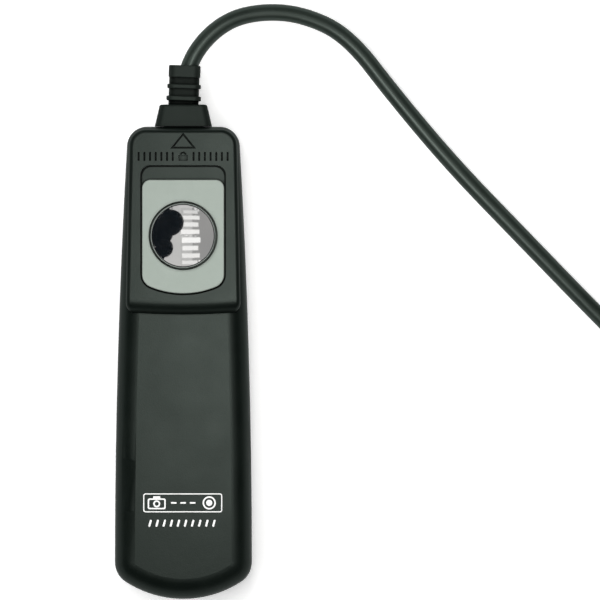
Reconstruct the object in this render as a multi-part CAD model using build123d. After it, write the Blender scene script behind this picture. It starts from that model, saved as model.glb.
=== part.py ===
from build123d import *
import math
import os

# Wired electronic shutter release: a slim black handset with a sliding lock plate, a round chrome button,
# a leaf-spring two-stage switch inside, and a cord that ends in a 2.5 mm three-pole jack plug.
# Frame: +Z is up out of the button face, +Y points to the cord, the origin is the middle of the flat back.
# All sizes are in millimetres.

# ---- case ----
case_length = 100.0          # from the butt to the cord end
cord_end_half_width = 11.7
middle_half_width = 13.63
butt_half_width = 14.5
middle_from_cord_end = 41.0  # where the middle half width is measured
butt_radius = 22.5           # the round end of the handset, seen from above
cord_corner_radius = 4.2
butt_corner_radius = 5.0
side_pieces = 5              # short arcs that each curved side is drawn with
handle_height = 16.0         # the handle's face
panel_step = 2.0             # how far the panel stands above the handle
front_shell_depth = 7.5      # from the handle's face down to where the shells meet
wall = 1.6
front_edge_radius = 4.3
back_edge_radius = 4.0
split_chamfer = 0.2
lip_thickness = 0.7
lip_height = 1.0
lip_clearance = 0.1

# ---- raised control panel ----
panel_end_gap = 0.6          # panel's end, in from the case's end
panel_top_half_width = 11.35
panel_low_half_width = 12.15
panel_low_y = 10.05          # the panel's lowest point, in the middle
panel_low_sag = 0.5          # how much its lower edge bows out
panel_top_corner = 3.5
panel_low_corner = 2.3
panel_roll_radius = 3.0      # the soft roll down to the handle
panel_edge_radius = 0.9
panel_root_height = 12.0     # how far down the panel block reaches into the handle
mark_depth = 0.6             # of the engraved lock marks
mark_line = 0.42

# ---- print on the handle ----
print_y = -29.6
print_frame = (16.7, 4.0)
print_line = 0.22
print_thickness = 0.04

# ---- button and slider ----
button_y = 26.9
slide_travel = 2.6
press_travel = 2.0
recess_half_width = 9.05
recess_top_y = 41.8
recess_low_y = 14.3
recess_low_radius = 18.4
recess_depth = 1.3
recess_floor = 1.2
recess_top_corner = 2.1
recess_low_corner = 3.2
recess_groove = (0.35, 0.5)   # width and depth of the groove round the recess's floor
plate_gap = 0.35             # round the plate's sides and its low end
plate_top_y = 38.7
plate_thickness = 1.1
plate_top_corner = 1.8
plate_edge_radius = 0.25
slide_gap = 0.1              # between sliding faces
button_hole_radius = 7.3
button_gap = 0.45            # round the button, in its hole
button_proud = 1.3           # the button's rim above the plate
button_dome = 0.7
button_rim_radius = 0.45
button_skirt = 3.8
button_wall = 0.9
button_roof = 1.1
neck_wall = 0.8
neck_clearance = 0.2         # between the neck and the slot it slides in
cup_floor_height = 12.0
cup_floor = 1.2
stem_radius = 3.0
stem_clearance = 0.1
stem_groove_radius = 2.6
stem_foot_radius = 1.6
plunger_flange = 1.0
retainer_half_width = 9.7
retainer_half_length = 10.8
retainer_thickness = 0.9
retainer_fit = 0.05
bead_height = 0.6
bead_proud = 0.3
spring_wire = 0.45
spring_radius = 4.3
spring_turns = 3.0

# ---- lock ----
clip_thickness = 0.8
clip_half_width = 6.0
clip_half_length = 3.6
catch_gap = 0.2
catch_thickness = 0.8
catch_half_width = 7.2
catch_notch = 0.4            # wider than the stem
catch_length = 7.8

# ---- switch ----
base_floor_height = 2.6
base_floor = 1.2
base_half_width = 7.6
base_low_y = -2.5
leaf_thickness = 0.25
leaf_half_width = 2.5
leaf_tag_y = -6.5
leaf_tip_y = 34.6
clamp_low_y = 4.5
clamp_high_y = 13.0
leaf_hinge_gap = 0.1
foot_gap = 0.1               # between the plunger's foot and the top leaf at rest
leaf_clear = 0.05            # between the foot and the top leaf at full press
focus_share = 0.47           # how far the middle leaf bends, as a share of the top leaf
contact_radius = 0.9
contact_thickness = 0.25
contact_from_tip = 1.4
contact_slack = 0.15         # left open at full press, so that no contact overlaps
clamp_plate = 1.2
stake_radius = 0.9
stake_clearance = 0.05
stake_head = 0.55
stake_head_radius = 1.6
stakes_y = (6.6, 10.9)

# ---- screws ----
case_screw_radius = 1.0
case_screw_head_radius = 1.9
case_screw_head = 1.3
case_screw_sink = 3.2        # depth of the counterbore's seat
case_screw_hole = 1.15
counterbore_radius = 2.15
case_boss_radius = 2.2
counterbore_boss_radius = 3.0
case_screw_bite = 4.0
cord_screw_x = 7.8
cord_screw_y = 43.3
butt_screw_y = -36.0
small_screw_radius = 0.8
small_screw_head_radius = 1.4
small_screw_head = 0.85
small_screw_length = 2.3
small_boss_radius = 1.9
base_screw_x = 5.6
base_screws_y = (1.2, 30.2)
recess_cross = 0.28          # half width of a cross recess's arm

# ---- cord, boot and plug ----
cord_radius = 1.8
cord_inner_end_y = 43.8
boot_opening = (8.6, 6.6)    # width and height of the hole in the case's end wall
boot_fit = 0.1
boot_foot = (12.1, 8.6)
boot_shoulder = (10.0, 7.6)
boot_foot_length = 4.6
# the ribbed end's rings: from and to, past the foot, and the width
boot_rings = ((0.85, 1.8, 7.3), (3.4, 4.3, 7.1), (5.75, 8.3, 6.7))
boot_ring_height = 7.2
boot_core = (6.4, 4.4)
boot_lean = 2.0              # degrees that the ribbed end leans towards +X
boot_case_gap = 0.1
boot_flange = (10.2, 8.0)
boot_flange_thickness = 1.6
crimp_radius = 2.6
crimp_length = 1.4
coil_centre = (118.0, 12.74)
coil_turns = (14.1, 23.1)    # radii of the innermost and outermost turns
coil_layer = 3.6             # height from the lower layer of turns to the upper
coil_lift = 0.6              # the tie's thickness, which the coil lies on
tie_width = 7.0
tie_angle = 115.0
plug_x = 141.7
plug_start_y = 45.0
plug_cord_depth = 3.5        # how far the cord reaches into the grip
plug_grip_radius = 4.0
plug_relief_length = 8.0
plug_grip_length = 15.0
plug_pin_radius = 1.25
plug_sleeve_length = 5.4
plug_band_length = 0.6
plug_ring_length = 1.7
plug_tip_length = 2.7
plug_core_radius = 0.5
plug_anchor = (1.9, 5.0)     # radius and length of the sleeve's root, moulded into the grip
wire_radius = 0.5

# ---- worked out from the sizes above ----
split_height = handle_height - front_shell_depth
panel_height = handle_height + panel_step
cord_end_y = case_length / 2
butt_y = -case_length / 2
recess_z = panel_height - recess_depth
recess_under_z = recess_z - recess_floor
plate_z = recess_z + slide_gap
plate_top_z = plate_z + plate_thickness
neck_radius = button_hole_radius + neck_wall
button_radius = button_hole_radius - button_gap
cup_top_z = cup_floor_height + cup_floor
button_rim_z = plate_top_z + button_proud
plunger_top_z = button_rim_z - button_roof
flange_under_z = plunger_top_z - plunger_flange
clip_z = cup_floor_height - slide_gap - clip_thickness
catch_z = clip_z - catch_gap - catch_thickness
catch_low_y = button_y + clip_half_length + plate_gap
catch_columns_y = catch_low_y + 4.0
base_top_z = base_floor_height + base_floor
lever = button_y - clamp_high_y
contact_y = leaf_tip_y - contact_from_tip
contact_lever = contact_y - clamp_high_y
common_turn = math.atan((press_travel - foot_gap + leaf_clear) / lever)
common_drop = contact_lever * math.tan(common_turn)
focus_drop = contact_lever * math.tan(common_turn * focus_share)
foot_z = catch_z + catch_thickness - 2.2
common_leaf_z = foot_z - foot_gap - leaf_thickness
leaf_stack = contact_thickness + contact_slack + leaf_thickness
focus_leaf_z = common_leaf_z - (common_drop - focus_drop) - leaf_stack
shutter_leaf_z = focus_leaf_z - focus_drop - leaf_stack
clamp_top_z = common_leaf_z + leaf_thickness + clamp_plate
boot_y = cord_end_y + boot_case_gap
flange_y = cord_end_y - wall - 2 * boot_case_gap


def block(x0, x1, y0, y1, z0, z1):
    """A box from its six sides."""
    return Pos((x0 + x1) / 2, (y0 + y1) / 2, (z0 + z1) / 2) * Box(x1 - x0, y1 - y0, z1 - z0)


def rod(x, y, z0, z1, radius):
    """An upright cylinder."""
    return Pos(x, y, (z0 + z1) / 2) * Cylinder(radius, z1 - z0)


def prism(face, z0, z1):
    """A flat face drawn at Z 0, made solid from z0 to z1."""
    return Pos(0, 0, z0) * extrude(face, amount=z1 - z0)


def closed(*edges):
    """A face inside a closed chain of edges."""
    return make_face(Wire(edges))


def round_corners(face, y_group, radius):
    """The corners of a face that have the highest (-1) or lowest (0) Y, rounded."""
    return fillet(face.vertices().group_by(Axis.Y)[y_group], radius)


# ---- outlines, seen from above ----
def side_arcs(*points):
    """One long arc through three points, as a chain of short ones that a mesh follows closely."""
    whole = ThreePointArc(*points)
    ends = [whole @ (step / (2 * side_pieces)) for step in range(2 * side_pieces + 1)]
    return [ThreePointArc(*ends[step : step + 3]) for step in range(0, 2 * side_pieces, 2)]


def case_outline(inset=0):
    """The case seen from above, or the same shape drawn inside it."""
    top_y = cord_end_y - inset
    middle_y = cord_end_y - middle_from_cord_end
    top_half, middle_half, butt_half = (
        half - inset for half in (cord_end_half_width, middle_half_width, butt_half_width)
    )
    corner_y = butt_y + butt_radius - math.sqrt((butt_radius - inset) ** 2 - butt_half**2)
    face = closed(
        Line((-top_half, top_y), (top_half, top_y)),
        *side_arcs((top_half, top_y), (middle_half, middle_y), (butt_half, corner_y)),
        ThreePointArc((butt_half, corner_y), (0, butt_y + inset), (-butt_half, corner_y)),
        *side_arcs((-butt_half, corner_y), (-middle_half, middle_y), (-top_half, top_y)),
    )
    face = round_corners(face, -1, cord_corner_radius - inset)
    return round_corners(face, 0, butt_corner_radius - inset)


def panel_outline():
    top_y = cord_end_y - panel_end_gap
    low_y = panel_low_y + panel_low_sag
    face = closed(
        Line((-panel_top_half_width, top_y), (panel_top_half_width, top_y)),
        Line((panel_top_half_width, top_y), (panel_low_half_width, low_y)),
        ThreePointArc((panel_low_half_width, low_y), (0, panel_low_y), (-panel_low_half_width, low_y)),
        Line((-panel_low_half_width, low_y), (-panel_top_half_width, top_y)),
    )
    face = round_corners(face, -1, panel_top_corner)
    return round_corners(face, 0, panel_low_corner)


def window_outline(inset, top_y, top_corner, low_corner):
    """The recess, or the plate in it: straight sides and a bowed low end."""
    half = recess_half_width - inset
    radius = recess_low_radius - inset
    centre_y = recess_low_y + recess_low_radius
    side_y = centre_y - math.sqrt(radius**2 - half**2)
    face = closed(
        Line((-half, top_y), (half, top_y)),
        Line((half, top_y), (half, side_y)),
        ThreePointArc((half, side_y), (0, centre_y - radius), (-half, side_y)),
        Line((-half, side_y), (-half, top_y)),
    )
    face = round_corners(face, -1, top_corner)
    return round_corners(face, 0, low_corner)


def slot_face(radius, length):
    """A slot that a round neck of that radius slides along by length."""
    return Pos(0, button_y + length / 2) * Rot(0, 0, 90) * SlotOverall(2 * radius + length, 2 * radius)


# ---- case shells ----
def handle_block(inset, z0, z1, edge_radius, top):
    """The case's outline made solid, with its top or bottom edge rounded."""
    solid = prism(case_outline(inset), z0, z1)
    return fillet(solid.edges().group_by(Axis.Z)[-1 if top else 0], edge_radius)


def shell_block(top):
    """One half of the case, before it is hollowed, with a small chamfer at the split."""
    if top:
        solid = handle_block(0, split_height, handle_height, front_edge_radius, True)
    else:
        solid = handle_block(0, 0, split_height, back_edge_radius, False)
    return chamfer(solid.edges().group_by(Axis.Z)[0 if top else -1], split_chamfer)


def panel_block():
    solid = prism(panel_outline(), panel_root_height, panel_height)
    # the roll down to the handle follows the bowed lower edge
    bow = (panel_low_half_width**2 + panel_low_sag**2) / (2 * panel_low_sag)
    centre_z = panel_height - panel_roll_radius
    half_roll = panel_roll_radius / 2
    corner = Rectangle(panel_roll_radius + 2, panel_roll_radius + 2)
    corner = Pos(panel_low_y + half_roll - 1, panel_height - half_roll + 1) * corner
    profile = corner - Pos(panel_low_y + panel_roll_radius, centre_z) * Circle(panel_roll_radius)
    profile -= Pos(panel_low_y + panel_roll_radius + 2, centre_z) * Rectangle(4, 12)
    profile -= Pos(panel_low_y, centre_z - 3) * Rectangle(12, 6)
    standing = Plane.YZ * profile
    pivot = Axis((0, panel_low_y + bow, 0), (0, 0, 1))
    sweep_angle = 2 * math.degrees(math.asin((panel_low_half_width + 1) / bow))
    roller = revolve(standing, axis=pivot, revolution_arc=sweep_angle)
    roller = roller.rotate(pivot, -sweep_angle / 2)
    solid -= roller
    upper = solid.edges().filter_by(lambda e: e.center().Z > centre_z + 0.5)
    sides = upper.filter_by(lambda e: abs(e.center().X) > 1 or e.center().Y > cord_end_y / 2)
    return fillet(sides, panel_edge_radius)


def case_bosses(front):
    """The three pairs of screw bosses, on the front or the back shell."""
    places = [(-cord_screw_x, cord_screw_y), (cord_screw_x, cord_screw_y), (0, butt_screw_y)]
    made = []
    for x, y in places:
        if front:
            ceiling = recess_under_z if y > 0 else handle_height - wall
            made.append(rod(x, y, split_height, ceiling + 0.2, case_boss_radius))
        else:
            made.append(rod(x, y, wall - 0.2, split_height, case_boss_radius))
            made.append(rod(x, y, wall - 0.2, case_screw_sink + 1.0, counterbore_boss_radius))
    return made, places


def boot_hole():
    width, height = boot_opening
    return Pos(0, cord_end_y - 1, split_height) * Box(width, 4, height)


def release_print():
    """The white print on the handle: a camera sign and a round button in a frame, over slanted strokes."""
    width, height = print_frame
    marks = RectangleRounded(width, height, 0.5)
    marks -= RectangleRounded(width - 2 * print_line, height - 2 * print_line, 0.3)
    marks += Pos(-5.5, -0.2) * (RectangleRounded(3.8, 2.3, 0.4) - RectangleRounded(3.2, 1.7, 0.2))
    marks += Pos(-5.5, -0.2) * (Circle(0.75) - Circle(0.42))
    marks += Pos(-5.5, 1.1) * RectangleRounded(1.5, 0.6, 0.12)
    for dash in range(3):
        marks += Pos(-1.9 + 2.0 * dash, 0) * RectangleRounded(1.2, 0.34, 0.15)
    marks += Pos(5.6, 0) * (Circle(1.4) - Circle(1.08) + Circle(0.65))
    for stroke in range(10):
        marks += Pos(-6.9 + 1.5 * stroke, -4.3) * Rot(0, 0, -15) * RectangleRounded(0.42, 1.5, 0.18)
    return Pos(-0.1, print_y) * prism(marks, handle_height, handle_height + print_thickness)


def parting_groove(inset, height):
    """The space inside the case's outline between two insets, above the split."""
    return prism(case_outline(inset), split_height, split_height + height)


def engraving():
    """Lock arrow over a row of upright strokes with a padlock in the middle, cut into the panel."""
    arrow = closed(*Polyline((-2.75, 45.3), (2.75, 45.3), (0, 48.7), close=True).edges())
    marks = arrow - offset(arrow, amount=-mark_line)
    lock_y = 43.35
    marks += Pos(0, lock_y) * RectangleRounded(2.0, 1.25, 0.2)
    marks += Pos(0, lock_y + 0.6) * (Circle(0.72) - Circle(0.34) - Pos(0, -1) * Rectangle(2, 2))
    for side in (-1, 1):
        for step in range(7):
            marks += Pos(side * (2.2 + 1.2 * step), lock_y + 0.3) * RectangleRounded(mark_line, 1.9, 0.15)
    return prism(marks, panel_height - mark_depth, panel_height + 1)


def front_shell():
    solid = shell_block(True) + panel_block()
    hollow = handle_block(wall, split_height - 1, handle_height - wall, front_edge_radius - wall, True)
    pocket_face = Pos(0, (15.9 + 47.7) / 2) * RectangleRounded(20.2, 47.7 - 15.9, 1.9)
    hollow += prism(pocket_face, split_height + 2, recess_under_z)
    solid -= hollow
    bosses, places = case_bosses(True)
    for boss in bosses:
        solid += boss
    half = wall / 2
    inside = handle_block(half, split_height, handle_height - half, front_edge_radius - half, True)
    for y in (-4.0, -14.0, -25.0):
        rib = Pos(0, y, handle_height - wall - 1.1) * Box(2 * butt_half_width, 1, 2.8)
        solid += rib & inside
    for x, y in places:
        solid -= rod(x, y, split_height - 1, split_height + case_screw_bite + 0.6, case_screw_radius)
    recess = window_outline(0, recess_top_y, recess_top_corner, recess_low_corner)
    solid -= prism(recess, recess_z, panel_height + 1)
    groove_width, groove_depth = recess_groove
    floor = window_outline(groove_width, recess_top_y - groove_width, recess_top_corner, recess_low_corner)
    solid -= prism(recess - floor, recess_z - groove_depth, panel_height)
    solid -= prism(slot_face(neck_radius + neck_clearance, slide_travel), recess_under_z - 1, panel_height)
    solid -= engraving()
    solid -= parting_groove(wall - lip_thickness - lip_clearance, lip_height + lip_clearance) - hollow
    return solid - boot_hole()


def back_shell():
    solid = shell_block(False)
    hollow = handle_block(wall, wall, split_height + 1, back_edge_radius - wall, False)
    solid -= hollow
    lip = parting_groove(wall - lip_thickness, lip_height) - parting_groove(wall, lip_height + 1)
    solid += lip
    bosses, places = case_bosses(False)
    for boss in bosses:
        solid += boss & handle_block(wall / 2, 0, split_height, back_edge_radius - wall / 2, False)
    for y in base_screws_y:
        for x in (-base_screw_x, base_screw_x):
            solid += rod(x, y, wall - 0.2, base_floor_height, small_boss_radius)
            hole_z = base_top_z - small_screw_length
            solid -= rod(x, y, hole_z, base_floor_height + 1, small_screw_radius)
    for y in (-12.0, -22.0):
        rib = block(-butt_half_width, butt_half_width, y - 0.5, y + 0.5, wall - 0.2, wall + 3.0)
        solid += rib & handle_block(wall / 2, 0, split_height, back_edge_radius - wall / 2, False)
    for x, y in places:
        solid -= rod(x, y, -1, case_screw_sink, counterbore_radius)
        solid -= rod(x, y, 0, split_height + 1, case_screw_hole)
    solid -= boot_hole()
    return solid


def cross_recess(radius, depth):
    """A cross recess for a screw's head, cut down from Z 0."""
    arm = Box(2 * radius, 2 * recess_cross, depth) + Box(2 * recess_cross, 2 * radius, depth)
    return Pos(0, 0, -depth / 2) * arm


def screw(radius, length, head_radius, head):
    """A pan-head screw that points down, with the underside of its head at Z 0."""
    top = Pos(0, 0, head / 2) * Cylinder(head_radius, head)
    top = fillet(top.edges().group_by(Axis.Z)[-1], head * 0.45)
    shank = Pos(0, 0, -length / 2) * Cylinder(radius, length)
    shank = chamfer(shank.edges().group_by(Axis.Z)[0], radius * 0.45)
    return top + shank - Pos(0, 0, head + 0.001) * cross_recess(head_radius * 0.62, head * 0.6)


def case_screws():
    _, places = case_bosses(True)
    length = split_height - case_screw_sink + case_screw_bite
    one = Rot(180, 0, 0) * screw(case_screw_radius, length, case_screw_head_radius, case_screw_head)
    return [Pos(x, y, case_screw_sink) * one for x, y in places]


# ---- slider, button and lock ----
def slider_plate():
    face = window_outline(plate_gap, plate_top_y, plate_top_corner, recess_low_corner - plate_gap)
    solid = prism(face, plate_z, plate_top_z)
    solid = fillet(solid.edges().group_by(Axis.Z)[-1], plate_edge_radius)
    solid += rod(0, button_y, cup_floor_height, plate_z + 0.1, neck_radius)
    bead_top = recess_under_z - slide_gap - retainer_thickness
    solid += rod(0, button_y, bead_top - bead_height, bead_top, neck_radius + bead_proud)
    solid -= rod(0, button_y, cup_top_z, plate_top_z + 1, button_hole_radius)
    solid -= rod(0, button_y, 0, plate_top_z, stem_radius + stem_clearance)
    return solid


def slider_retainer():
    top = recess_under_z - slide_gap
    face = Pos(0, button_y) * RectangleRounded(2 * retainer_half_width, 2 * retainer_half_length, 1.5)
    solid = prism(face, top - retainer_thickness, top)
    return solid - rod(0, button_y, 0, top + 1, neck_radius + retainer_fit)


def button_cap():
    low = button_rim_z - button_skirt
    profile = closed(
        Line((0, plunger_top_z), (0, button_rim_z + button_dome)),
        ThreePointArc(
            (0, button_rim_z + button_dome),
            (button_radius / 2, button_rim_z + 0.755 * button_dome),
            (button_radius, button_rim_z),
        ),
        Line((button_radius, button_rim_z), (button_radius, low)),
        Line((button_radius, low), (button_radius - button_wall, low)),
        Line((button_radius - button_wall, low), (button_radius - button_wall, plunger_top_z)),
        Line((button_radius - button_wall, plunger_top_z), (0, plunger_top_z)),
    )
    solid = revolve(Plane.XZ * profile, axis=Axis.Z)
    rim = solid.edges().filter_by(GeomType.CIRCLE).filter_by(lambda e: abs(e.radius - button_radius) < 1e-3)
    solid = fillet(rim.group_by(Axis.Z)[-1], button_rim_radius)
    return Pos(0, button_y, 0) * solid


def button_plunger():
    flange = rod(0, button_y, flange_under_z, plunger_top_z, button_radius - button_wall - retainer_fit)
    stem = rod(0, button_y, foot_z + stem_foot_radius, flange_under_z, stem_radius)
    stem -= rod(0, button_y, clip_z, clip_z + clip_thickness, stem_radius) - rod(
        0, button_y, clip_z, clip_z + clip_thickness, stem_groove_radius
    )
    foot = Pos(0, button_y, foot_z + stem_foot_radius) * Sphere(stem_foot_radius)
    return flange + stem + foot


def latch_clip():
    face = Pos(0, button_y) * RectangleRounded(2 * clip_half_width, 2 * clip_half_length, 0.8)
    solid = prism(face, clip_z, clip_z + clip_thickness)
    solid -= rod(0, button_y, 0, plate_z, stem_groove_radius)
    mouth = stem_groove_radius * 0.8
    return solid - block(-mouth, mouth, button_y - 2 * clip_half_length, button_y, 0, plate_z)


def button_spring():
    height = flange_under_z - cup_top_z - spring_wire
    pitch = height / spring_turns
    path = Helix(pitch=pitch, height=height, radius=spring_radius)
    section = Plane(origin=path @ 0, z_dir=path % 0) * Circle(spring_wire / 2)
    coil = sweep(section, path=path, is_frenet=True)
    return Pos(0, button_y, cup_top_z + spring_wire / 2) * coil


def lock_catch():
    high_y = catch_low_y + catch_length
    notch = stem_radius + catch_notch
    face = Pos(0, (catch_low_y + high_y) / 2) * RectangleRounded(2 * catch_half_width, catch_length, 0.6)
    solid = prism(face, catch_z, catch_z + catch_thickness)
    notch_end = button_y + slide_travel + catch_notch
    solid -= rod(0, notch_end, 0, plate_z, notch)
    solid -= block(-notch, notch, catch_low_y - 1, notch_end, 0, plate_z)
    for x in (-base_screw_x, base_screw_x):
        solid -= rod(x, high_y - 2.0, 0, plate_z, small_screw_radius + 0.1)
    return solid


def catch_screws():
    y = catch_low_y + catch_length - 2.0
    one = screw(small_screw_radius, catch_thickness + 3.0, small_screw_head_radius, small_screw_head)
    return [Pos(x, y, catch_z + catch_thickness) * one for x in (-base_screw_x, base_screw_x)]


# ---- leaf switch ----
def switch_base():
    high_y = catch_low_y + catch_length
    solid = block(-base_half_width, base_half_width, base_low_y, high_y, base_floor_height, base_top_z)
    solid = fillet(solid.edges().filter_by(Axis.Z), 1.2)
    half = leaf_half_width + 1.2
    solid += block(-half, half, clamp_low_y, clamp_high_y, base_top_z - 0.1, shutter_leaf_z)
    for side in (-1, 1):
        solid += block(
            min(side * 3.9, side * catch_half_width), max(side * 3.9, side * catch_half_width),
            catch_columns_y, high_y, base_top_z - 0.1, catch_z,
        )
        x = side * base_screw_x
        solid -= rod(x, high_y - 2.0, catch_z - 3.2, catch_z + 1, small_screw_radius)
        for y in base_screws_y:
            solid -= rod(x, y, 0, base_top_z + 1, small_screw_radius + 0.1)
    for y in stakes_y:
        solid += rod(0, y, shutter_leaf_z - 0.1, clamp_top_z, stake_radius)
        solid += rod(0, y, clamp_top_z, clamp_top_z + stake_head, stake_head_radius)
    return solid


def base_screws():
    one = screw(small_screw_radius, small_screw_length, small_screw_head_radius, small_screw_head)
    return [Pos(x, y, base_top_z) * one for x in (-base_screw_x, base_screw_x) for y in base_screws_y]


def stake_holes():
    return [rod(0, y, 0, clamp_top_z + 5, stake_radius + stake_clearance) for y in stakes_y]


def clamp_piece(z0, z1):
    """A spacer or cover in the clamped stack."""
    solid = block(-leaf_half_width - 1.2, leaf_half_width + 1.2, clamp_low_y, clamp_high_y, z0, z1)
    for hole in stake_holes():
        solid -= hole
    return solid


def leaf_root(z, tag_x):
    """The clamped end of a leaf, with a narrow solder tag that is set to one side."""
    solid = block(-leaf_half_width, leaf_half_width, clamp_low_y - 1.5, clamp_high_y, z, z + leaf_thickness)
    solid += block(tag_x - 0.8, tag_x + 0.8, leaf_tag_y, clamp_low_y - 1.0, z, z + leaf_thickness)
    for hole in stake_holes():
        solid -= hole
    return solid


def leaf_blade(z, gap):
    """The free end of a leaf, tapered to a round tip."""
    start = clamp_high_y + gap
    face = closed(
        Line((-leaf_half_width, start), (leaf_half_width, start)),
        Line((leaf_half_width, start), (contact_from_tip, contact_y)),
        ThreePointArc((contact_from_tip, contact_y), (0, leaf_tip_y), (-contact_from_tip, contact_y)),
        Line((-contact_from_tip, contact_y), (-leaf_half_width, start)),
    )
    return prism(face, z, z + leaf_thickness)


def contact(z):
    return rod(0, contact_y, z - contact_thickness, z, contact_radius)


# ---- boot, cord and wires ----
# The cord's route, by hand: out through the boot, over in a wide arch and away over the table to the coil.
cord_route = [
    (0.1, cord_inner_end_y, split_height),
    (0.0, 50.4, split_height),
    (-0.1, 58.76, split_height),
    (2.41, 66.29, 8.3),
    (8.58, 72.33, 7.7),
    (16.04, 74.52, 6.7),
    (25.14, 73.99, 5.5),
    (34.91, 69.48, 4.0),
    (45.09, 56.25, 2.4),
    (57.53, 41.54, 1.85),
    (72.0, 26.6, 1.8),
    (86.6, 11.5, 1.9),
    (101.67, -3.59, 2.4),
]
# The tail's route, from the top turn of the coil to the plug.
tail_route = [
    (141.1, 12.74, 6.0),
    (141.2, 21.8, 5.9),
    (141.4, 30.9, 5.1),
    (plug_x, 40.0, 4.2),
    (plug_x, plug_start_y + plug_cord_depth, plug_grip_radius),
]
# The three inner wires, from the cord's inner end round the switch to the leaves' solder tags.
focus_wire_route = [
    (-0.9, cord_inner_end_y, split_height),
    (-1.6, 41.1, 7.4),
    (-5.4, 40.2, 5.8),
    (-8.6, 39.5, 5.0),
    (-9.6, 34.5, 4.6),
    (-9.7, 21.0, 4.5),
    (-9.5, 6.0, 5.0),
    (-6.6, -3.6, focus_leaf_z + leaf_thickness + 2 * wire_radius),
    (-1.6, -5.8, focus_leaf_z + leaf_thickness + wire_radius),
]
shutter_wire_route = [
    (0.9, cord_inner_end_y, split_height),
    (1.6, 41.1, 7.4),
    (5.4, 40.2, 5.8),
    (8.6, 39.5, 5.0),
    (9.6, 34.5, 4.6),
    (9.7, 21.0, 4.5),
    (9.5, 6.0, 4.6),
    (6.6, -3.6, shutter_leaf_z + leaf_thickness + 2 * wire_radius),
    (1.6, -5.8, shutter_leaf_z + leaf_thickness + wire_radius),
]
common_wire_route = [
    (0.0, cord_inner_end_y, split_height + 1.0),
    (0.9, 41.3, 9.0),
    (5.0, 40.3, 8.2),
    (8.6, 39.5, 7.6),
    (9.6, 34.5, 7.3),
    (9.7, 21.0, 7.2),
    (9.5, 6.0, 7.6),
    (6.4, -3.0, common_leaf_z + leaf_thickness + 2 * wire_radius),
    (0.0, -5.8, common_leaf_z + leaf_thickness + wire_radius),
]


def fillet_radii(points):
    """0.45 of the shorter run over the tangent of half the turn, at each corner."""
    radii = []
    for before, here, after in zip(points, points[1:], points[2:]):
        arrive = Vector(*here) - Vector(*before)
        leave = Vector(*after) - Vector(*here)
        turn = math.radians(arrive.get_angle(leave))
        radii.append(0.45 * min(arrive.length, leave.length) / math.tan(turn / 2))
    return radii


def tube(points, radius, name):
    """A round tube along straight runs joined by tangent arcs."""
    radii = fillet_radii(points)
    path = FilletPolyline(*points, radius=radii)
    section = Plane(origin=path @ 0, z_dir=path % 0) * Circle(radius)
    solid = sweep(section, path=path)
    share = solid.volume / (math.pi * radius**2 * path.length)
    print(name, "length", round(path.length, 1), "least radius", round(min(radii), 1))
    print(name, "volume share", round(share, 4))
    return solid


def rounded_bar(width, height, y0, y1, corner):
    """A bar along Y of rounded rectangular section, centred on the split."""
    face = Plane.XZ * RectangleRounded(width, height, corner)
    return Pos(0, y1, split_height) * extrude(face, amount=y1 - y0)


def cord_boot(cord):
    foot = Pos(0, boot_y, split_height) * (Plane.XZ * RectangleRounded(*boot_foot, 1.6))
    shoulder_y = boot_y + boot_foot_length
    shoulder = Pos(0, shoulder_y, split_height) * (Plane.XZ * RectangleRounded(*boot_shoulder, 1.4))
    solid = loft([foot, shoulder])
    solid = fillet(solid.edges().group_by(Axis.Y)[-1], 0.5)
    # the ribbed end: a slim core with two narrow rings and a deep end collar
    ribbed = rounded_bar(*boot_core, shoulder_y - 1.0, shoulder_y + boot_rings[-1][1] - 0.3, 1.4)
    for y0, y1, width in boot_rings:
        ring = rounded_bar(width, boot_ring_height, shoulder_y + y0, shoulder_y + y1, 1.5)
        ribbed += fillet(ring.edges().group_by(Axis.Y)[-1] + ring.edges().group_by(Axis.Y)[0], 0.2)
    pivot = Axis((0, shoulder_y, split_height), (0, 0, 1))
    solid += ribbed.rotate(pivot, -boot_lean)
    neck_width, neck_height = (size - 2 * boot_fit for size in boot_opening)
    solid += rounded_bar(neck_width, neck_height, cord_end_y - wall - 0.2, boot_y + 0.1, 0.6)
    solid += rounded_bar(*boot_flange, flange_y - boot_flange_thickness, flange_y, 1.0)
    return solid - cord


def crimp_ring(cord):
    middle_y = flange_y - boot_flange_thickness - crimp_length / 2
    return Pos(0, middle_y, split_height) * Rot(90, 0, 0) * Cylinder(crimp_radius, crimp_length) - cord


def coil_section(grow):
    low = coil_lift - grow
    high = coil_lift + 2 * cord_radius + coil_layer + grow
    inner = coil_turns[0] - cord_radius - grow
    outer = coil_turns[1] + cord_radius + grow
    section = RectangleRounded(outer - inner, high - low, 1.4 + grow)
    return Pos((inner + outer) / 2, (low + high) / 2) * section


def cord_coil(*lead_ins):
    """The outer shape of the coil, where the cord's two straight stretches run into it."""
    solid = Pos(*coil_centre) * revolve(Plane.XZ * coil_section(0), axis=Axis.Z)
    for lead_in in lead_ins:
        solid -= lead_in
    return solid


def cord_tie():
    band = (Plane.XZ * (coil_section(coil_lift) - coil_section(0.02))).face()
    span = math.degrees(2 * tie_width / sum(coil_turns))
    ring = revolve(band, axis=Axis.Z, revolution_arc=span)
    return Pos(*coil_centre) * Rot(0, 0, tie_angle) * ring


# ---- plug ----
def plug_rod(y0, y1, radius):
    return Pos(plug_x, (y0 + y1) / 2, plug_grip_radius) * Rot(90, 0, 0) * Cylinder(radius, y1 - y0)


plug_grip_y = plug_start_y + plug_relief_length
plug_pin_y = plug_grip_y + plug_grip_length
sleeve_end = plug_pin_y + plug_sleeve_length
first_band_end = sleeve_end + plug_band_length
ring_end = first_band_end + plug_ring_length
second_band_end = ring_end + plug_band_length
tip_end = second_band_end + plug_tip_length


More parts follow.
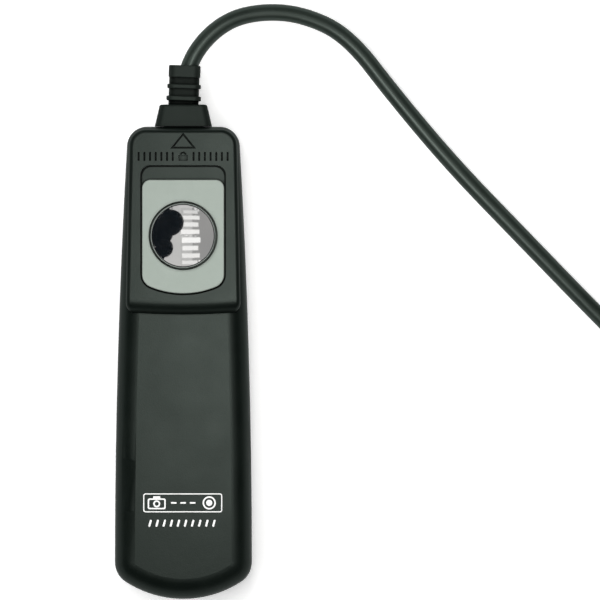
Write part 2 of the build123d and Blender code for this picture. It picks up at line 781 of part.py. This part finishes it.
def plug_grip(tail):
    relief_end = 2.5
    profile = closed(
        *Polyline(
            (0, plug_start_y), (relief_end, plug_start_y), (3.1, plug_grip_y), (0, plug_grip_y), close=True
        ).edges()
    )
    relief = revolve(profile, axis=Axis.Y)
    for step in range(3):
        y = plug_start_y + 1.9 + 2.1 * step
        groove = Pos(0, y, 0) * Rot(90, 0, 0) * (Cylinder(5, 0.9) - Cylinder(2.2, 0.9))
        relief -= groove
    body = Rot(90, 0, 0) * Cylinder(plug_grip_radius, plug_grip_length)
    body = Pos(0, (plug_grip_y + plug_pin_y) / 2, 0) * body
    ends = body.edges().filter_by(GeomType.CIRCLE)
    body = fillet(ends, 1.0)
    for step in range(5):
        y = plug_grip_y + 4.0 + 1.8 * step
        body -= Pos(0, y, 0) * Rot(90, 0, 0) * (Cylinder(5, 0.7) - Cylinder(plug_grip_radius - 0.35, 0.7))
    solid = Pos(plug_x, 0, plug_grip_radius) * (relief + body)
    return solid - tail - plug_rod(plug_pin_y - plug_anchor[1], plug_pin_y + 1, plug_anchor[0])


def plug_sleeve():
    solid = plug_rod(plug_pin_y - plug_anchor[1], plug_pin_y, plug_anchor[0])
    solid += plug_rod(plug_pin_y - 0.1, sleeve_end, plug_pin_radius)
    return solid - plug_rod(plug_pin_y - plug_anchor[1] - 1, sleeve_end + 1, plug_core_radius + 0.35)


def plug_ring():
    solid = plug_rod(first_band_end, ring_end, plug_pin_radius)
    return solid - plug_rod(first_band_end - 1, ring_end + 1, plug_core_radius + 0.35)


def plug_tip():
    waist = plug_pin_radius * 0.62
    y = second_band_end
    profile = closed(
        *Polyline(
            (0, y),
            (plug_pin_radius, y),
            (plug_pin_radius, y + 0.25),
            (waist, y + 0.75),
            (plug_pin_radius * 0.96, y + 1.45),
            (plug_pin_radius * 0.9, y + 1.8),
            (0.3, tip_end),
            (0, tip_end),
            close=True,
        ).edges()
    )
    solid = Pos(plug_x, 0, plug_grip_radius) * revolve(profile, axis=Axis.Y)
    return solid + plug_rod(plug_pin_y - plug_anchor[1], y + 0.1, plug_core_radius)


def plug_insulator():
    """The moulded core between the poles, whose two bands show between them."""
    solid = plug_rod(plug_pin_y - plug_anchor[1], second_band_end, plug_core_radius + 0.35)
    solid += plug_rod(sleeve_end, first_band_end, plug_pin_radius)
    solid += plug_rod(ring_end, second_band_end, plug_pin_radius)
    return solid - plug_rod(plug_pin_y - plug_anchor[1] - 1, second_band_end + 1, plug_core_radius)


def solder_joints(*wires):
    made = []
    for wire, x, z in zip(wires, (-1.6, 1.6, 0.0), (focus_leaf_z, shutter_leaf_z, common_leaf_z)):
        drop = Pos(x, -5.75, z + leaf_thickness) * Sphere(0.75)
        made.append((drop & block(x - 1, x + 1, -7, -4.5, z + leaf_thickness, z + 3)) - wire)
    return made


os.makedirs("parts", exist_ok=True)
cord_run = tube(cord_route, cord_radius, "cord_run")
cord_tail = tube(tail_route, cord_radius, "cord_tail")
focus_wire = tube(focus_wire_route, wire_radius, "focus_wire") - cord_run
shutter_wire = tube(shutter_wire_route, wire_radius, "shutter_wire") - cord_run
common_wire = tube(common_wire_route, wire_radius, "common_wire") - cord_run

parts = {
    "front_shell": front_shell(),
    "rear_shell": back_shell(),
    "release_print": release_print(),
    "case_screws": Compound(children=case_screws()),
    "slider_plate": slider_plate(),
    "slider_retainer": slider_retainer(),
    "button_cap": button_cap(),
    "button_plunger": button_plunger(),
    "button_spring": button_spring(),
    "latch_clip": latch_clip(),
    "lock_catch": lock_catch(),
    "catch_screws": Compound(children=catch_screws()),
    "switch_base": switch_base(),
    "base_screws": Compound(children=base_screws()),
    "lower_spacer": clamp_piece(shutter_leaf_z + leaf_thickness, focus_leaf_z),
    "upper_spacer": clamp_piece(focus_leaf_z + leaf_thickness, common_leaf_z),
    "clamp_cover": clamp_piece(common_leaf_z + leaf_thickness, clamp_top_z),
    "shutter_leaf": leaf_root(shutter_leaf_z, 1.6) + leaf_blade(shutter_leaf_z, 0),
    "focus_leaf_root": leaf_root(focus_leaf_z, -1.6),
    "focus_leaf_blade": leaf_blade(focus_leaf_z, leaf_hinge_gap),
    "focus_contact": contact(focus_leaf_z),
    "common_leaf_root": leaf_root(common_leaf_z, 0.0),
    "common_leaf_blade": leaf_blade(common_leaf_z, leaf_hinge_gap),
    "common_contact": contact(common_leaf_z),
    "solder_joints": Compound(children=solder_joints(focus_wire, shutter_wire, common_wire)),
    "focus_wire": focus_wire,
    "shutter_wire": shutter_wire,
    "common_wire": common_wire,
    "cord_boot": cord_boot(cord_run),
    "cord_crimp_ring": crimp_ring(cord_run),
    "cord_run": cord_run,
    "cord_coil": cord_coil(cord_run, cord_tail),
    "cord_tie": cord_tie(),
    "cord_tail": cord_tail,
    "plug_grip": plug_grip(cord_tail),
    "plug_sleeve": plug_sleeve(),
    "plug_ring": plug_ring(),
    "plug_insulator": plug_insulator(),
    "plug_tip": plug_tip(),
}
for name, shape in parts.items():
    export_step(shape, f"parts/{name}.step")
print("leaf levels", round(common_leaf_z, 2), round(focus_leaf_z, 2), round(shutter_leaf_z, 2))
print("base top", base_top_z)
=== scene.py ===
import math

import bmesh
import bpy
from mathutils import Matrix, Vector


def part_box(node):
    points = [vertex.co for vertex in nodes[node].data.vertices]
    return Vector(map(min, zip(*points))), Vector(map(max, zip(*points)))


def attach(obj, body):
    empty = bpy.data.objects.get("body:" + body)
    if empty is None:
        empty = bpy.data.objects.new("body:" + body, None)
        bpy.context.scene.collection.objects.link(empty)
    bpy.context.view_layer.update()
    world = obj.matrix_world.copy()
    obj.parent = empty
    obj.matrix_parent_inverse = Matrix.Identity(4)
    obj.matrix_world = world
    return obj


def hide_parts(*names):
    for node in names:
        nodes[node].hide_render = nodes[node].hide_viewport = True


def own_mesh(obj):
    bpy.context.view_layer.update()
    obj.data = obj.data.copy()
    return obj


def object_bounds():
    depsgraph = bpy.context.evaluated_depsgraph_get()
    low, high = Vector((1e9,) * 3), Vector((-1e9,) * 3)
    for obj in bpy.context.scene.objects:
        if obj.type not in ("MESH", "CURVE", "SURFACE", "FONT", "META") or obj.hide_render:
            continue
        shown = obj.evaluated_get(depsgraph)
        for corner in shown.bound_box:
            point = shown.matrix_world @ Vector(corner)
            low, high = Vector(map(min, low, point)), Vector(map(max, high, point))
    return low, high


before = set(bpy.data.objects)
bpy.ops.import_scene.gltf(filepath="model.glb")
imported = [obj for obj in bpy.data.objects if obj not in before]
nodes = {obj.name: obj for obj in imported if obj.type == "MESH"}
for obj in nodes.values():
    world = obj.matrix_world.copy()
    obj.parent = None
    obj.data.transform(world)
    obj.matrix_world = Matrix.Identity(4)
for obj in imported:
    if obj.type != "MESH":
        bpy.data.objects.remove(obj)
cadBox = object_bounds()
print("frame loaded with", len(nodes), "nodes")


def addToScene(name, data):
    thing = bpy.data.objects.new(name, data)
    bpy.context.scene.collection.objects.link(thing)
    return thing


def finishMesh(name, bm):
    mesh = bpy.data.meshes.new(name)
    bm.to_mesh(mesh)
    bm.free()
    return addToScene(name, mesh)


# camera, straight above the table
cameraSettings = {
    "centre": (0.0247, 0.0133),  # the point on the table straight below it
    "height": 3.0,
    "viewWidth": 0.1272,  # how wide a strip it sees, at viewLevel
    "viewLevel": 0.0085,
    "sensor": 36,
    "nearest": 0.05,
}


def makeCamera(settings):
    lens = bpy.data.cameras.new("camera")
    lens.sensor_width = settings["sensor"]
    distance = settings["height"] - settings["viewLevel"]
    lens.lens = settings["sensor"] * distance / settings["viewWidth"]
    lens.clip_start = settings["nearest"]
    camera = addToScene("camera", lens)
    camera.location = (*settings["centre"], settings["height"])
    bpy.context.scene.camera = camera


makeCamera(cameraSettings)


# cord, from inside the case to the plug
cordSettings = {
    "diameter": 0.0036,
    "length": 0.8,
    "exit": (0.0014, 0.0631, 0.0084),  # the mouth of the boot
    "route": [
        (0.0001, 0.0438, 0.0085),
        (0.0, 0.0504, 0.0085),
        (-0.0001, 0.05876, 0.0085),
        (0.00241, 0.06629, 0.0083),
        (0.00858, 0.07233, 0.0077),
        (0.01604, 0.07452, 0.0067),
        (0.02514, 0.07399, 0.0055),
        (0.03491, 0.06948, 0.0040),
        (0.04509, 0.05625, 0.0024),
        (0.05753, 0.04154, 0.00185),
        (0.0720, 0.0266, 0.0018),
        (0.0866, 0.0115, 0.0019),
        (0.10167, -0.00359, 0.0024),
    ],
    "coilCentre": (0.118, 0.01274),
    "coilStart": 225,  # degrees, where the cord runs onto the coil
    "coilRadii": (0.0141, 0.0231),  # innermost and outermost turn
    "coilLevels": (0.0024, 0.0060),  # lower and upper layer
    "coilRise": 0.375,  # the share of a turn in which it climbs to the upper layer
    "pointsPerTurn": 24,
    "sides": 6,
    "smoothness": 8,
    "tail": [
        (0.1411, 0.01274, 0.0060),
        (0.1412, 0.0218, 0.0059),
        (0.1414, 0.0309, 0.0051),
        (0.1417, 0.0400, 0.0042),
        (0.1417, 0.0485, 0.0040),
    ],
}


def coilPoints(settings):
    inner, outer = settings["coilRadii"]
    low, high = settings["coilLevels"]
    layerTurns = (outer - inner) / settings["diameter"]
    climbEnd = layerTurns + settings["coilRise"]
    points = []
    for step in range(1, round((climbEnd + layerTurns) * settings["pointsPerTurn"])):
        turn = step / settings["pointsPerTurn"]
        climb = min(max((turn - layerTurns) / settings["coilRise"], 0), 1)
        radius = max(outer - settings["diameter"] * turn, inner)  # inwards below, outwards above
        if turn > climbEnd:
            radius = inner + settings["diameter"] * (turn - climbEnd)
        angle = math.radians(settings["coilStart"] + 360 * turn)
        x = settings["coilCentre"][0] + radius * math.cos(angle)
        y = settings["coilCentre"][1] + radius * math.sin(angle)
        eased = climb * climb * (3 - 2 * climb)
        points.append((x, y, low + (high - low) * eased))
    return points


def makeCord(settings):
    points = settings["route"] + coilPoints(settings) + settings["tail"]
    curve = bpy.data.curves.new("cord", "CURVE")
    curve.dimensions = "3D"
    # a point's radius widens the curve's box too, so the thickness is kept in the points
    curve.bevel_depth = 1
    curve.bevel_resolution = settings["sides"]
    curve.resolution_u = settings["smoothness"]
    curve.use_fill_caps = True
    spline = curve.splines.new("NURBS")
    spline.points.add(len(points) - 1)
    for controlPoint, place in zip(spline.points, points):
        controlPoint.co = (*place, 1)
        controlPoint.radius = settings["diameter"] / 2
    spline.order_u = 3
    spline.use_endpoint_u = True
    cord = addToScene("cord", curve)
    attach(cord, "case")
    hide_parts("cord_run", "cord_coil", "cord_tail")
    return cord


cord = makeCord(cordSettings)
print("cord laid")


# button spring, under the button, wound at its height at rest
springSettings = {
    "wire": 0.00045,
    "radius": 0.0043,
    "turns": 3,
    "stepsPerTurn": 40,
    "wireSides": 12,
    "keep": 0.482,  # its height at full press, as a share of its height at rest
}


def makeSpring(settings):
    low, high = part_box("button_spring")
    centreX, centreY = (low.x + high.x) / 2, (low.y + high.y) / 2
    halfWire = settings["wire"] / 2
    steps = settings["turns"] * settings["stepsPerTurn"]
    bm = bmesh.new()
    section = bmesh.ops.create_circle(
        bm, cap_ends=False, segments=settings["wireSides"], radius=halfWire
    )["verts"]
    upright = Matrix.Rotation(math.radians(90), 3, "X")
    bmesh.ops.rotate(bm, verts=section, cent=(0, 0, 0), matrix=upright)
    start = Vector((centreX + settings["radius"], centreY, low.z + halfWire))
    bmesh.ops.translate(bm, verts=section, vec=start)
    bmesh.ops.spin(
        bm,
        geom=bm.edges[:],
        cent=(centreX, centreY, low.z),
        axis=(0, 0, 1),
        dvec=(0, 0, (high.z - low.z - 2 * halfWire) / steps),
        angle=math.radians(360 * settings["turns"]),
        steps=steps,
        use_merge=False,
    )
    wireEnds = [edge for edge in bm.edges if edge.is_boundary]
    bmesh.ops.holes_fill(bm, edges=wireEnds, sides=0)
    bmesh.ops.recalc_face_normals(bm, faces=bm.faces[:])
    spring = finishMesh("buttonSpring", bm)
    spring.data.shade_smooth()
    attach(spring, "slider")
    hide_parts("button_spring")
    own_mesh(spring)
    return spring


spring = makeSpring(springSettings)
print("spring wound")


# finishes, made of nodes
def addNode(tree, kind, inputs=None, **settings):
    node = tree.nodes.new(kind)
    for name, value in settings.items():
        setattr(node, name, value)
    for name, value in (inputs or {}).items():
        if isinstance(value, bpy.types.NodeSocket):
            tree.links.new(value, node.inputs[name])
        else:
            node.inputs[name].default_value = value
    return node


def newFinish(name):
    finish = bpy.data.materials.new(name)
    finish.use_nodes = True
    finish.node_tree.nodes.clear()
    return finish, finish.node_tree


def objectPlace(tree):
    return addNode(tree, "ShaderNodeTexCoord").outputs["Object"]


def noise(tree, place, scale, detail):
    inputs = {"Vector": place, "Scale": scale, "Detail": detail}
    return addNode(tree, "ShaderNodeTexNoise", inputs).outputs["Fac"]


# takes the run of values from one pair of ends to another
def stretchRange(tree, value, fromEnds, toEnds, **settings):
    inputs = {
        "Value": value,
        "From Min": fromEnds[0],
        "From Max": fromEnds[1],
        "To Min": toEnds[0],
        "To Max": toEnds[1],
    }
    return addNode(tree, "ShaderNodeMapRange", inputs, **settings).outputs["Result"]


noiseEnds = (0.3, 0.7)  # most of a noise texture lies between these


def spread(tree, value, low, high):
    return stretchRange(tree, value, noiseEnds, (low, high))


def blend(tree, factor, first, second):
    inputs = {0: factor, 6: first, 7: second}
    return addNode(tree, "ShaderNodeMix", inputs, data_type="RGBA").outputs[2]


def blendColours(tree, factor, first, second):
    return blend(tree, factor, (*first, 1), (*second, 1))


def bump(tree, height, depth, strength=1.0, normal=None):
    inputs = {"Height": height, "Distance": depth, "Strength": strength}
    if normal is not None:
        inputs["Normal"] = normal
    return addNode(tree, "ShaderNodeBump", inputs).outputs["Normal"]


def shade(tree, inputs):
    shader = addNode(tree, "ShaderNodeBsdfPrincipled", inputs)
    addNode(tree, "ShaderNodeOutputMaterial", {"Surface": shader.outputs["BSDF"]})


# moulded, painted and rubber surfaces: two close colours in soft patches, a fine grain, low
# waves, and on some a painted shade in grooves
mouldedSteps = {
    "patchDetail": 4,
    "grainDetail": 3,
    "waveDetail": 2,
    "waveSpan": 12,  # how many grains long a wave is
    "waveDepth": 1.5,  # in depths of the grain
    "waveStrength": 0.4,
}
coolTint = (0.84, 1.0, 0.92)
wireFinish = {
    "patches": 300,
    "grain": 2600,
    "depth": 0.000004,
    "roughness": (0.36, 0.44),
    "specular": 0.5,
}
mouldedSettings = {
    "shellPlastic": {
        "shadeReach": 0.0009,  # how far away a wall still casts painted shade on a groove's floor
        # the share of colour and specular level that the painted shade leaves on the deepest
        # groove floors
        "paintedShadeInGrooves": 0.05,
        "tint": coolTint,
        "colours": ((0.0025, 0.004, 0.0033), (0.004, 0.006, 0.005)),
        "patches": 120,
        "grain": 4200,
        "depth": 0.000018,
        "roughness": (0.33, 0.39),
        "specular": 0.44,
    },
    "platePaint": {
        "shadeReach": 0.0014,
        "paintedShadeInGrooves": 0.0,
        "tint": coolTint,
        "colours": ((0.262, 0.296, 0.266), (0.286, 0.320, 0.290)),
        "patches": 300,
        "grain": 3600,
        "depth": 0.000004,
        "roughness": (0.40, 0.46),
        "specular": 0.5,
    },
    "bootRubber": {
        "shadeReach": 0.0016,
        "paintedShadeInGrooves": 0.0,
        "tint": coolTint,
        "colours": ((0.006, 0.008, 0.007), (0.010, 0.013, 0.011)),
        "patches": 200,
        "grain": 3200,
        "depth": 0.000010,
        "roughness": (0.46, 0.55),
        "specular": 0.33,
    },
    "cordJacket": {
        "tint": coolTint,
        "colours": ((0.013, 0.018, 0.015), (0.018, 0.024, 0.020)),
        "patches": 160,
        "grain": 2400,
        "depth": 0.000008,
        "roughness": (0.31, 0.37),
        "specular": 1.0,
    },
    "whiteInk": {
        "colours": ((0.86, 0.87, 0.86), (0.92, 0.92, 0.91)),
        "patches": 900,
        "grain": 5000,
        "depth": 0.000003,
        "roughness": (0.42, 0.52),
        "specular": 0.4,
    },
    "plungerPlastic": {
        "colours": ((0.66, 0.65, 0.60), (0.72, 0.71, 0.66)),
        "patches": 300,
        "grain": 3000,
        "depth": 0.000004,
        "roughness": (0.35, 0.42),
        "specular": 0.5,
    },
    "basePlastic": {
        "colours": ((0.13, 0.095, 0.06), (0.18, 0.135, 0.09)),
        "patches": 260,
        "grain": 2600,
        "depth": 0.000006,
        "roughness": (0.45, 0.55),
        "specular": 0.5,
    },
    "pressedFibre": {
        "colours": ((0.30, 0.17, 0.08), (0.42, 0.25, 0.13)),
        "patches": 900,
        "grain": 2200,
        "depth": 0.000010,
        "roughness": (0.60, 0.75),
        "specular": 0.35,
    },
    "yellowWire": {"colours": ((0.70, 0.50, 0.07), (0.78, 0.58, 0.10)), **wireFinish},
    "redWire": {"colours": ((0.55, 0.04, 0.03), (0.63, 0.06, 0.05)), **wireFinish},
    "whiteWire": {"colours": ((0.70, 0.70, 0.68), (0.78, 0.78, 0.76)), **wireFinish},
    "plugPlastic": {
        "colours": ((0.006, 0.0075, 0.007), (0.010, 0.012, 0.011)),
        "patches": 200,
        "grain": 3600,
        "depth": 0.000009,
        "roughness": (0.40, 0.48),
        "specular": 0.5,
    },
    "plugBands": {
        "colours": ((0.008, 0.008, 0.008), (0.012, 0.012, 0.012)),
        "patches": 400,
        "grain": 4000,
        "depth": 0.000002,
        "roughness": (0.18, 0.24),
        "specular": 0.5,
    },
    "tieStrap": {
        "colours": ((0.008, 0.008, 0.009), (0.016, 0.016, 0.017)),
        "patches": 1500,
        "grain": 3000,
        "depth": 0.000020,
        "roughness": (0.60, 0.75),
        "specular": 0.35,
    },
}


# painted shade in grooves, read from the ambient occlusion at each point
paintedShadeSettings = {
    "ends": (0.30, 0.88),  # how much sky a groove's floor and an open face have
    "samples": 8,
}


# painted shade in grooves: how open the surface is, 1 on open faces, down to low in narrow
# grooves
def paintedGrooveShade(tree, shadeReach, low, settings):
    grooveOcclusion = addNode(
        tree, "ShaderNodeAmbientOcclusion", {"Distance": shadeReach}, samples=settings["samples"]
    )
    return stretchRange(tree, grooveOcclusion.outputs["AO"], settings["ends"], (low, 1.0))


def mouldedFinish(name):
    settings, steps = mouldedSettings[name], mouldedSteps
    finish, tree = newFinish(name)
    place = objectPlace(tree)
    patches = noise(tree, place, settings["patches"], steps["patchDetail"])
    grain = noise(tree, place, settings["grain"], steps["grainDetail"])
    unevenness = noise(tree, place, settings["grain"] / steps["waveSpan"], steps["waveDetail"])
    waves = bump(tree, unevenness, settings["depth"] * steps["waveDepth"], steps["waveStrength"])
    colour = blendColours(tree, spread(tree, patches, 0, 1), *settings["colours"])
    sheen = settings["specular"]
    # painted shade: narrow grooves get a colour darkened towards black and a lower specular level
    if "shadeReach" in settings:
        paintedShadeFactor = paintedGrooveShade(tree, settings["shadeReach"], settings["paintedShadeInGrooves"], paintedShadeSettings)
        sheenUnderPaintedShade = addNode(tree, "ShaderNodeMath", {0: paintedShadeFactor, 1: sheen}, operation="MULTIPLY")
        sheen = sheenUnderPaintedShade.outputs["Value"]
        colour = blend(tree, paintedShadeFactor, (0, 0, 0, 1), colour)
    shade(tree, {
        "Base Color": colour,
        "Roughness": spread(tree, patches, *settings["roughness"]),
        "Specular IOR Level": sheen,
        "Specular Tint": (*settings.get("tint", (1, 1, 1)), 1),
        "Normal": bump(tree, grain, settings["depth"], 1.0, waves),
    })
    return finish


# plated, drawn, stamped and rolled metals: fine scratches along one direction, a soft tarnish
metalSteps = {
    "scratchDetail": 5,
    "tarnish": 220,
    "tarnishDetail": 3,
}
metalSettings = {
    "buttonChrome": {
        "colours": ((0.78, 0.79, 0.80), (0.84, 0.84, 0.84)),
        "stretch": (1, 1, 1),
        "scratches": 900,
        "depth": 0.0000004,
        "roughness": (0.035, 0.06),
    },
    "springSteel": {
        "colours": ((0.45, 0.45, 0.45), (0.55, 0.55, 0.54)),
        "stretch": (1, 1, 4),
        "scratches": 1400,
        "depth": 0.000003,
        "roughness": (0.25, 0.33),
    },
    "stampedSteel": {
        "colours": ((0.42, 0.43, 0.44), (0.52, 0.53, 0.54)),
        "stretch": (1, 12, 1),
        "scratches": 700,
        "depth": 0.000004,
        "roughness": (0.30, 0.42),
    },
    "screwZinc": {
        "colours": ((0.36, 0.36, 0.38), (0.46, 0.46, 0.47)),
        "stretch": (1, 1, 1),
        "scratches": 1600,
        "depth": 0.000005,
        "roughness": (0.32, 0.44),
    },
    "leafBronze": {
        "colours": ((0.62, 0.40, 0.17), (0.72, 0.50, 0.24)),
        "stretch": (10, 1, 1),
        "scratches": 600,
        "depth": 0.000003,
        "roughness": (0.25, 0.35),
    },
    "contactSilver": {
        "colours": ((0.78, 0.78, 0.76), (0.86, 0.86, 0.84)),
        "stretch": (1, 1, 1),
        "scratches": 1200,
        "depth": 0.000002,
        "roughness": (0.20, 0.30),
    },
    "solderTin": {
        "colours": ((0.60, 0.61, 0.62), (0.70, 0.71, 0.72)),
        "stretch": (1, 1, 1),
        "scratches": 1800,
        "depth": 0.000006,
        "roughness": (0.18, 0.34),
    },
    "plugNickel": {
        "colours": ((0.66, 0.62, 0.55), (0.74, 0.70, 0.63)),
        "stretch": (1, 10, 1),
        "scratches": 900,
        "depth": 0.0000015,
        "roughness": (0.10, 0.18),
    },
}


def metalFinish(name):
    settings, steps = metalSettings[name], metalSteps
    finish, tree = newFinish(name)
    place = objectPlace(tree)
    mapping = addNode(tree, "ShaderNodeMapping", {"Vector": place, "Scale": settings["stretch"]})
    drawn = mapping.outputs["Vector"]
    scratches = noise(tree, drawn, settings["scratches"], steps["scratchDetail"])
    tarnish = noise(tree, place, steps["tarnish"], steps["tarnishDetail"])
    shade(tree, {
        "Base Color": blendColours(tree, spread(tree, tarnish, 0, 1), *settings["colours"]),
        "Metallic": 1.0,
        "Roughness": spread(tree, scratches, *settings["roughness"]),
        "Normal": bump(tree, scratches, settings["depth"]),
    })
    return finish


mouldedPieces = {
    "shellPlastic": ["front_shell", "rear_shell"],
    "whiteInk": ["release_print"],
    "platePaint": ["slider_plate"],
    "bootRubber": ["cord_boot"],
    "cordJacket": [cord],
    "plungerPlastic": ["button_plunger"],
    "basePlastic": ["switch_base"],
    "pressedFibre": ["lower_spacer", "upper_spacer", "clamp_cover"],
    "yellowWire": ["focus_wire"],
    "redWire": ["shutter_wire"],
    "whiteWire": ["common_wire"],
    "plugPlastic": ["plug_grip"],
    "plugBands": ["plug_insulator"],
    "tieStrap": ["cord_tie"],
}
metalPieces = {
    "buttonChrome": ["button_cap"],
    "springSteel": [spring],
    "stampedSteel": ["slider_retainer", "latch_clip", "lock_catch", "cord_crimp_ring"],
    "screwZinc": ["case_screws", "catch_screws", "base_screws"],
    "leafBronze": [
        "shutter_leaf",
        "focus_leaf_root",
        "focus_leaf_blade",
        "common_leaf_root",
        "common_leaf_blade",
    ],
    "contactSilver": ["focus_contact", "common_contact"],
    "solderTin": ["solder_joints"],
    "plugNickel": ["plug_sleeve", "plug_ring", "plug_tip"],
}


def paint(pieces, makeFinish):
    for name, members in pieces.items():
        finish = makeFinish(name)
        for member in members:
            piece = nodes[member] if isinstance(member, str) else member
            piece.data.materials.clear()
            piece.data.materials.append(finish)


paint(mouldedPieces, mouldedFinish)
paint(metalPieces, metalFinish)
print("finishes applied")


# floor
floorSettings = {
    "size": 6.0,
    "below": 0.00005,  # how far under the lowest point of the handset
    "colour": (0.90, 0.90, 0.90, 1),
    "roughness": 0.9,
    "specular": 0.1,
    "glow": 0.4,
}


def makeFloor(settings):
    bm = bmesh.new()
    bmesh.ops.create_grid(bm, x_segments=1, y_segments=1, size=settings["size"] / 2)
    bmesh.ops.translate(bm, verts=bm.verts[:], vec=(0, 0, cadBox[0].z - settings["below"]))
    floor = finishMesh("floor", bm)
    finish, tree = newFinish("floorCard")
    shade(tree, {
        "Base Color": settings["colour"],
        "Roughness": settings["roughness"],
        "Specular IOR Level": settings["specular"],
        "Emission Color": (1, 1, 1, 1),
        "Emission Strength": settings["glow"],
    })
    floor.data.materials.append(finish)
    floor.visible_glossy = False  # its reflection comes from the sky's low band instead


makeFloor(floorSettings)


# lights: a soft sun and softboxes over the button
lightSettings = {
    "sunPower": 2.9,
    "sunSpread": 70,  # degrees across
    "sunAim": (0.30, -0.22, -1.0),
    "over": (0.0, 0.027, 0.17),  # above the button, where the softboxes hang
    "tint": (1.0, 0.985, 0.96),
    # each strip: across, along, width and length, as slopes seen from the button, and its glow
    "strips": [
        (0.036, 0.425, 0.170, 0.030, 8.0),
        (0.056, 0.350, 0.120, 0.052, 10.0),
        (0.050, 0.262, 0.155, 0.058, 12.0),
        (0.056, 0.160, 0.125, 0.062, 12.0),
        (0.048, 0.056, 0.150, 0.066, 13.0),
        (0.062, -0.058, 0.150, 0.076, 14.0),
        (0.050, -0.172, 0.130, 0.066, 13.0),
        (0.060, -0.284, 0.150, 0.068, 12.0),
        (0.048, -0.388, 0.135, 0.056, 11.0),
    ],
    # the dim softboxes round the strips, in the same way
    "fills": [
        (0.046, 0.000, 0.160, 1.300, 0.55),
        (-0.330, 0.000, 0.590, 1.300, 0.60),
        (0.430, 0.000, 0.605, 1.300, 0.34),
    ],
    # what the button reflects instead of each strip: wider, further right and far dimmer
    "glintWidth": 1.75,
    "glintShift": 0.045,
    "glintGlow": 0.082,
}


# a lamp that lights the button alone (INCLUDE) or everything but the button (EXCLUDE)
def linkToButton(lamp, state):
    receivers = bpy.data.collections.new(f"{lamp.name}Receivers")
    receivers.objects.link(nodes["button_cap"])
    receivers.collection_objects[0].light_linking.link_state = state
    lamp.light_linking.receiver_collection = receivers


def buttonTop():
    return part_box("button_cap")[1].z


def hangBox(name, settings, across, along, width, length, glow):
    x, y, level = settings["over"]
    drop = level - buttonTop()
    light = bpy.data.lights.new(name, "AREA")
    light.shape = "RECTANGLE"
    light.size, light.size_y = drop * width, drop * length
    light.energy = glow * math.pi * light.size * light.size_y
    light.color = settings["tint"]
    lamp = addToScene(name, light)
    lamp.location = (x + drop * across, y + drop * along, level)
    lamp.visible_camera = False
    return lamp


def makeSun(settings):
    light = bpy.data.lights.new("overcastSun", "SUN")
    light.energy = settings["sunPower"]
    light.angle = math.radians(settings["sunSpread"])
    sun = addToScene("overcastSun", light)
    sun.rotation_mode = "QUATERNION"
    sun.rotation_quaternion = Vector(settings["sunAim"]).to_track_quat("-Z", "Y")
    sun.visible_glossy = False


def makeSoftboxes(settings):
    for number, (across, along, width, length, glow) in enumerate(settings["strips"]):
        strip = hangBox(f"softbox{number}", settings, across, along, width, length, glow)
        linkToButton(strip, "EXCLUDE")
        glint = hangBox(
            f"glint{number}",
            settings,
            across + settings["glintShift"],
            along,
            width * settings["glintWidth"],
            length,
            glow * settings["glintGlow"],
        )
        linkToButton(glint, "INCLUDE")
    for number, fill in enumerate(settings["fills"], len(settings["strips"])):
        hangBox(f"softbox{number}", settings, *fill)


makeSun(lightSettings)
makeSoftboxes(lightSettings)


# flags: black discs that hang under the softboxes and show dark in the button
flagSettings = {
    "over": (0.0, 0.027, 0.16),
    # across, along and radius, as slopes seen from the button
    "discs": [
        (-0.195, 0.195, 0.197),
        (-0.330, 0.050, 0.185),
        (-0.300, -0.165, 0.152),
        (-0.480, 0.050, 0.230),
    ],
    "corners": 48,
    "spacing": 0.001,  # each disc hangs this much lower than the one before
    "colour": (0.004, 0.006, 0.008, 1),
    "roughness": 0.9,
}


def makeFlags(settings):
    x, y, level = settings["over"]
    drop = level - buttonTop()
    bm = bmesh.new()
    for number, (across, along, radius) in enumerate(settings["discs"]):
        disc = bmesh.ops.create_circle(
            bm, cap_ends=True, segments=settings["corners"], radius=drop * radius
        )
        lower = level - settings["spacing"] * number
        place = (x + drop * across, y + drop * along, lower)
        bmesh.ops.translate(bm, verts=disc["verts"], vec=place)
    flags = finishMesh("flags", bm)
    finish, tree = newFinish("flagCloth")
    shade(tree, {
        "Base Color": settings["colour"],
        "Roughness": settings["roughness"],
        "Specular IOR Level": 0.0,
    })
    flags.data.materials.append(finish)
    flags.visible_camera = False
    flags.visible_diffuse = False
    flags.visible_shadow = False


makeFlags(flagSettings)


# sky: dark overhead, with a low bright band that stands for the white table all round
skySettings = {
    "high": 0.015,
    "low": 0.45,
    "from": 0.05,  # the height, as the sine of its angle, where the bright band starts to fade
    "to": 0.35,  # and where it has faded
    "tint": (0.93, 1.0, 0.96),
}


def makeSky(settings):
    sky = bpy.data.worlds.new("sky")
    sky.use_nodes = True
    tree = sky.node_tree
    tree.nodes.clear()
    direction = addNode(tree, "ShaderNodeTexCoord").outputs["Generated"]
    height = addNode(tree, "ShaderNodeSeparateXYZ", {"Vector": direction}).outputs["Z"]
    strength = stretchRange(
        tree,
        height,
        (settings["from"], settings["to"]),
        (settings["low"], settings["high"]),
        interpolation_type="SMOOTHSTEP",
    )
    inputs = {"Color": (*settings["tint"], 1), "Strength": strength}
    glow = addNode(tree, "ShaderNodeBackground", inputs)
    addNode(tree, "ShaderNodeOutputWorld", {"Surface": glow.outputs["Background"]})
    bpy.context.scene.world = sky


makeSky(skySettings)
bpy.context.scene.view_settings.view_transform = "Standard"
print("floor and lights set")

bpy.context.view_layer.update()
